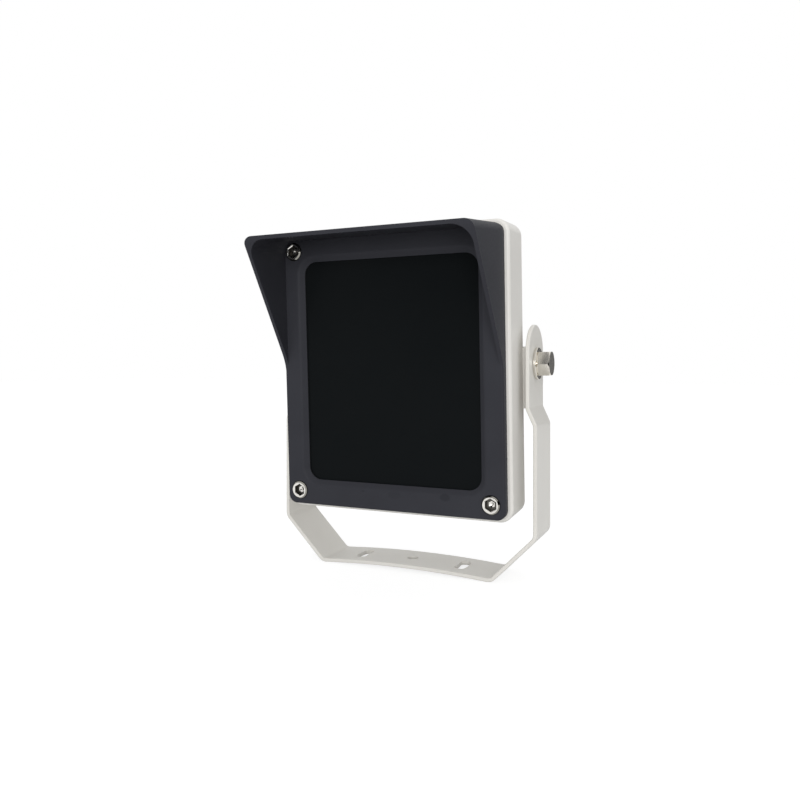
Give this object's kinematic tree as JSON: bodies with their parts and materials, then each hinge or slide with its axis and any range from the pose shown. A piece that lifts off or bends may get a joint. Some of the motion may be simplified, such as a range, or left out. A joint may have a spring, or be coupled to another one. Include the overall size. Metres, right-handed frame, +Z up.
{
  "type": "infrared illuminator",
  "caption": "Infrared illuminator: flat square lamp head with a dark window, hooded bezel and finned white housing, tilting on bolts in a folded steel U-bracket.",
  "frame": {"origin": "centre of the round fixing hole, at the underside of the bracket's arched base", "axes": "+Z up along the fixing hole, the lamp looks along -Y, X is the tilt axis"},
  "size_m": [0.167, 0.1228, 0.1976],
  "materials": {
    "bracket_paint": "satin",
    "housing_paint": "satin",
    "bezel_paint": "satin",
    "window_dark": "gloss",
    "rubber_black": "matte",
    "stainless": "polished",
    "nylon": "matte",
    "bare_aluminium": "satin",
    "pad_grey": "matte",
    "board_white": "matte",
    "emitter_clear": "gloss",
    "lens_clear": "gloss",
    "board_green": "satin",
    "part_black": "matte",
    "terminal_green": "matte",
    "brass_nickel": "satin",
    "gland_black": "matte"
  },
  "bodies": {
    "bracket": {"u_bracket": "bracket_paint", "friction_washer_left": "nylon", "friction_washer_right": "nylon"},
    "lamp_head": {"rear_housing": "housing_paint", "front_bezel": "bezel_paint", "front_window": "window_dark", "window_gasket": "rubber_black", "window_retainer": "stainless", "retainer_screws": "stainless", "housing_gasket": "rubber_black", "corner_screws": "stainless", "pivot_bolt_left": "stainless", "pivot_bolt_right": "stainless", "plain_washer_left": "stainless", "plain_washer_right": "stainless", "heat_spreader": "bare_aluminium", "spreader_screws": "stainless", "thermal_pad": "pad_grey", "led_board": "board_white", "led_emitters": "emitter_clear", "lens_plate": "lens_clear", "lens_screws": "stainless", "light_sensor": "emitter_clear", "driver_board": "board_green", "driver_parts": "part_black", "terminal_block": "terminal_green", "driver_standoffs": "brass_nickel", "driver_screws": "stainless", "gland_body": "gland_black", "gland_nut": "gland_black", "gland_seal": "rubber_black", "gland_washer": "rubber_black", "gland_locknut": "brass_nickel", "vent_plug": "gland_black"}
  },
  "joints": [
    {"name": "tilt", "type": "hinge", "parent": "bracket", "child": "lamp_head", "pos_m": [0, 0, 0.1185], "axis": [1, 0, 0], "range_deg": [-92.9, 87.1]}
  ]
}
